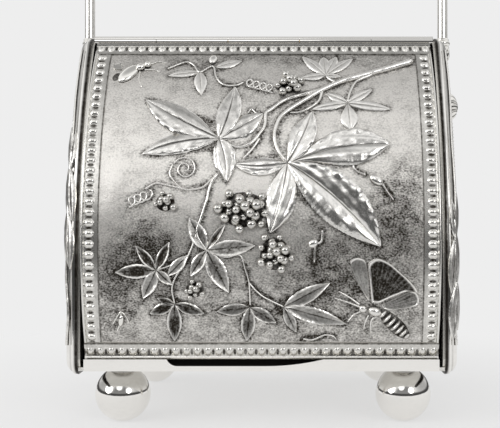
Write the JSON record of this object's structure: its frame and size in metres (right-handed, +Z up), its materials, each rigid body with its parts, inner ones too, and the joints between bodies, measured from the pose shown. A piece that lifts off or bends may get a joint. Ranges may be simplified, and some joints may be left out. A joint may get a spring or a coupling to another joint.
{
  "type": "biscuit box",
  "caption": "Silver-plated biscuit box on ball feet, with a curved front lid hinged at its top, beaded borders and a swing bail handle.",
  "frame": {"origin": "middle of the footprint, on the table that the ball feet stand on", "axes": "+Z up, +Y to the back, so the lid faces -Y; +X to the right of someone facing the lid"},
  "size_m": [0.1894, 0.1582, 0.2475],
  "materials": {
    "silver_plate": "polished silver plate",
    "inner_plate": "satin silver plate",
    "oxidised_field": "matt oxidised silver plate",
    "brass_fastener": "turned brass"
  },
  "bodies": {
    "carcass": {"left_end_panel": "silver_plate", "right_end_panel": "silver_plate", "front_rail": "silver_plate", "top_moulding": "silver_plate", "hinge_body_leaf": "silver_plate", "front_left_foot": "silver_plate", "front_right_foot": "silver_plate", "rear_left_foot": "silver_plate", "rear_right_foot": "silver_plate", "left_pivot_washer": "silver_plate", "right_pivot_washer": "silver_plate", "left_rosette_knob": "silver_plate", "right_rosette_knob": "silver_plate", "back_panel": "silver_plate", "top_plate": "silver_plate", "base_plate": "silver_plate", "lid_stop": "silver_plate", "left_panel_foliage": "silver_plate", "right_panel_foliage": "silver_plate", "left_panel_berries": "silver_plate", "right_panel_berries": "silver_plate", "left_lining": "inner_plate", "right_lining": "inner_plate", "hinge_pin": "brass_fastener", "foot_screws": "brass_fastener", "pivot_nuts": "brass_fastener"},
    "lid": {"lid_panel": "oxidised_field", "lid_border_top": "silver_plate", "lid_border_bottom": "silver_plate", "lid_border_left": "silver_plate", "lid_border_right": "silver_plate", "hinge_lid_leaf": "silver_plate", "lid_foliage": "silver_plate", "lid_berries": "silver_plate", "lid_butterfly": "silver_plate"},
    "handle": {"handle_bail": "silver_plate", "left_handle_strap": "silver_plate", "right_handle_strap": "silver_plate", "left_leaf_collar": "silver_plate", "right_leaf_collar": "silver_plate"}
  },
  "joints": [
    {"name": "lid_hinge", "type": "hinge", "parent": "carcass", "child": "lid", "pos_m": [0, -0.03696, 0.16952], "axis": [-1, 0, 0], "range_deg": [0, 155]},
    {"name": "handle_swing", "type": "hinge", "parent": "carcass", "child": "handle", "pos_m": [0, 0.0041, 0.14402], "axis": [-1, 0, 0], "range_deg": [-115, 118]}
  ]
}
